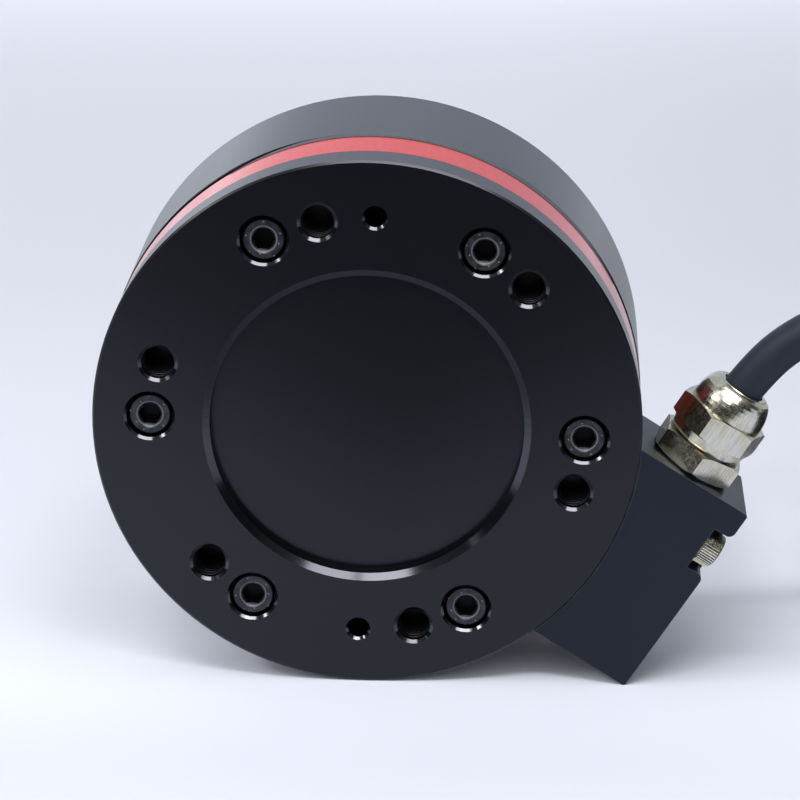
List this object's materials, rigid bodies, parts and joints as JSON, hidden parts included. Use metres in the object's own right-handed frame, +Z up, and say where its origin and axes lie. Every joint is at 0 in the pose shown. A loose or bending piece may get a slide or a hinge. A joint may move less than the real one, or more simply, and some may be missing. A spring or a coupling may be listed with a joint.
{
  "type": "six-axis force torque sensor",
  "caption": "Round six-axis force torque sensor with bolted mounting faces, a side cable box with a metal gland, and a coiled cable ending in a round connector.",
  "frame": {"origin": "centre of the front mounting face's hole circle, on the face", "axes": "-Y out of the front mounting face along the body's axis, +Z up as the sensor stands on its rim and box corner, +X towards the cable box"},
  "size_m": [0.2751, 0.1241, 0.11],
  "materials": {
    "anodised_black": "hard anodised, fine turned satin",
    "box_black": "milled and anodised, satin",
    "label_red": "printed film, semi-matt",
    "screw_black": "black oxide, oiled",
    "element_steel": "ground and milled",
    "bright_steel": "nickel plated, knurled",
    "gauge_foil": "amber polyimide film",
    "board_green": "solder mask",
    "chip_black": "moulded epoxy",
    "rubber_black": "moulded rubber",
    "nickel_brass": "nickel plated",
    "polyamide": "natural polyamide",
    "cable_jacket": "matt polyurethane",
    "lead_wires": "insulated wires",
    "tie_black": "ribbed nylon",
    "contact_gold": "gold plated"
  },
  "bodies": {
    "root": {"front_plate": "anodised_black", "label_band": "label_red", "plate_screws": "screw_black", "measuring_element": "element_steel", "strain_gauges": "gauge_foil", "flex_circuit": "gauge_foil", "gap_seal": "rubber_black", "rear_housing": "anodised_black", "hub_screws": "screw_black", "circuit_board": "board_green", "board_screws": "bright_steel", "board_chips": "chip_black", "flex_socket": "polyamide", "leads_socket": "polyamide", "cable_box": "box_black", "box_gasket": "rubber_black", "front_box_screw": "bright_steel", "rear_box_screw": "bright_steel", "gland_ring": "rubber_black", "gland_body": "nickel_brass", "gland_claw": "polyamide", "gland_seal": "rubber_black", "dome_nut": "nickel_brass", "sensor_leads": "lead_wires", "cable": "cable_jacket", "cable_coil": "cable_jacket", "cable_ties": "tie_black", "cable_tail": "cable_jacket", "plug_clamp": "nickel_brass", "plug_shell": "nickel_brass", "plug_coupling": "nickel_brass", "plug_insert": "rubber_black", "plug_contacts": "contact_gold"}
  },
  "joints": []
}
